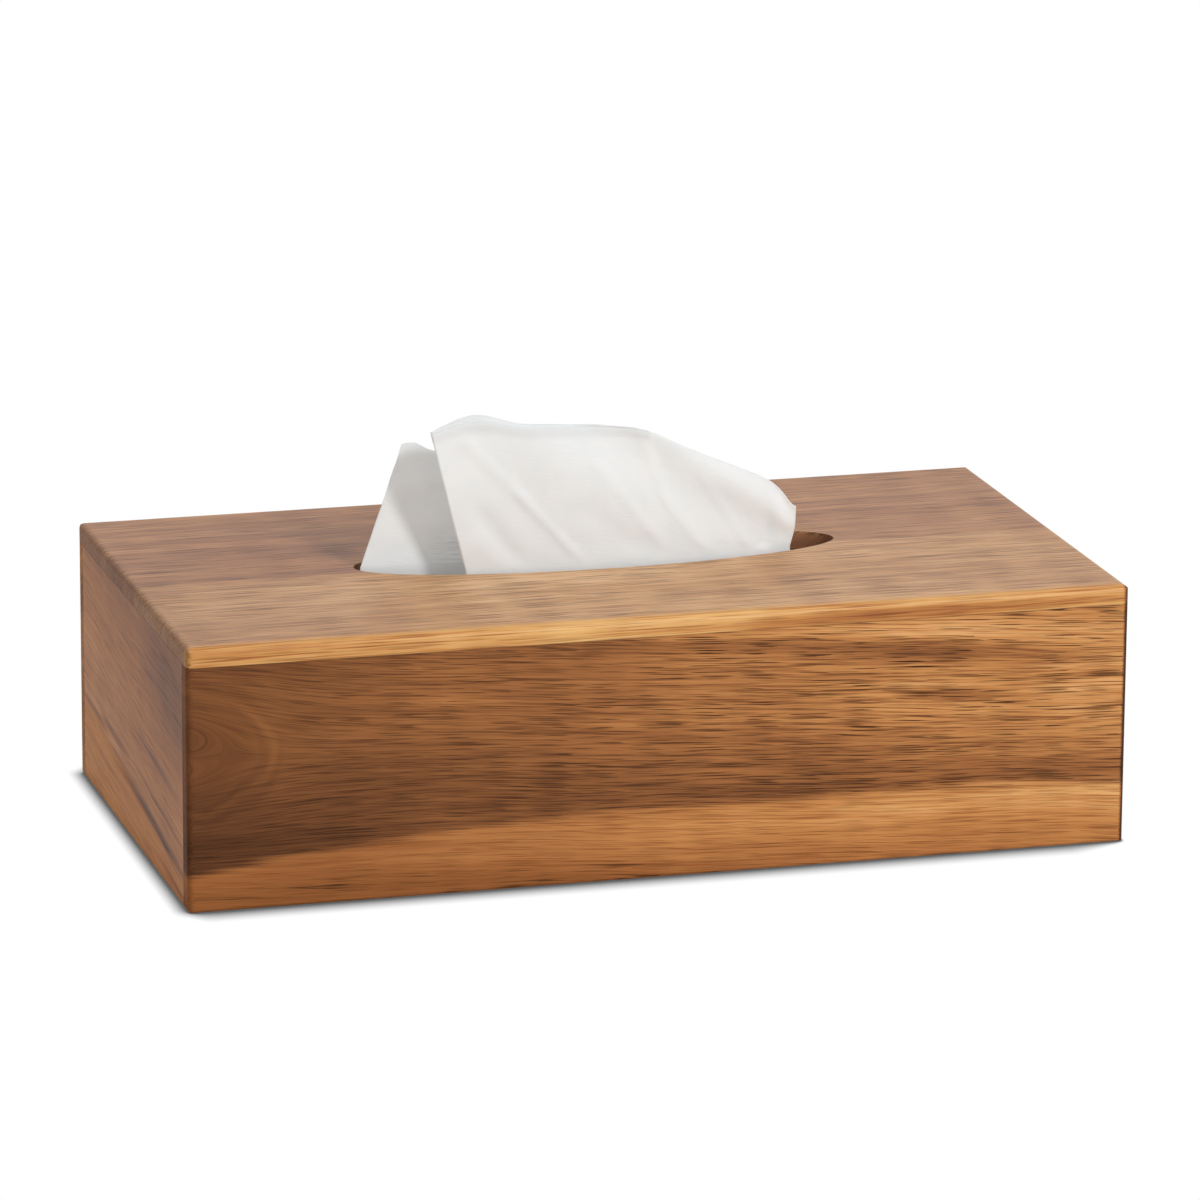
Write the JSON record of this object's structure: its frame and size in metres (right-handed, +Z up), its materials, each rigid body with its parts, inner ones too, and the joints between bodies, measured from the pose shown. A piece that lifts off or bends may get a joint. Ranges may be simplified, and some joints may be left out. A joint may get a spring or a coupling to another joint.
{
  "type": "tissue box cover",
  "caption": "Rectangular wooden tissue box cover with an oval slot, a base panel that slides out for refilling, and a folded tissue drawn up through the slot.",
  "frame": {"origin": "middle of the case's foot, on the surface that it stands on", "axes": "+X along the length towards the end where the base slides out, +Y to the back, +Z up"},
  "size_m": [0.26, 0.137, 0.115],
  "materials": {
    "top_back_wood": "satin",
    "top_front_wood": "satin",
    "front_wood": "satin",
    "back_wood": "satin",
    "end_wood": "satin",
    "base_wood": "satin",
    "folded_tissue": "matte",
    "drawn_tissue": "matte"
  },
  "bodies": {
    "case": {"top_back_stave": "top_back_wood", "top_front_stave": "top_front_wood", "front_board": "front_wood", "back_board": "back_wood", "left_end_board": "end_wood", "right_end_board": "end_wood", "tissue_pack": "folded_tissue", "tissue_sheet": "drawn_tissue"},
    "base": {"base_panel": "base_wood"}
  },
  "joints": [
    {"name": "base_slide", "type": "slide", "parent": "case", "child": "base", "axis": [1, 0, 0], "range_m": [0, 0.26]}
  ]
}
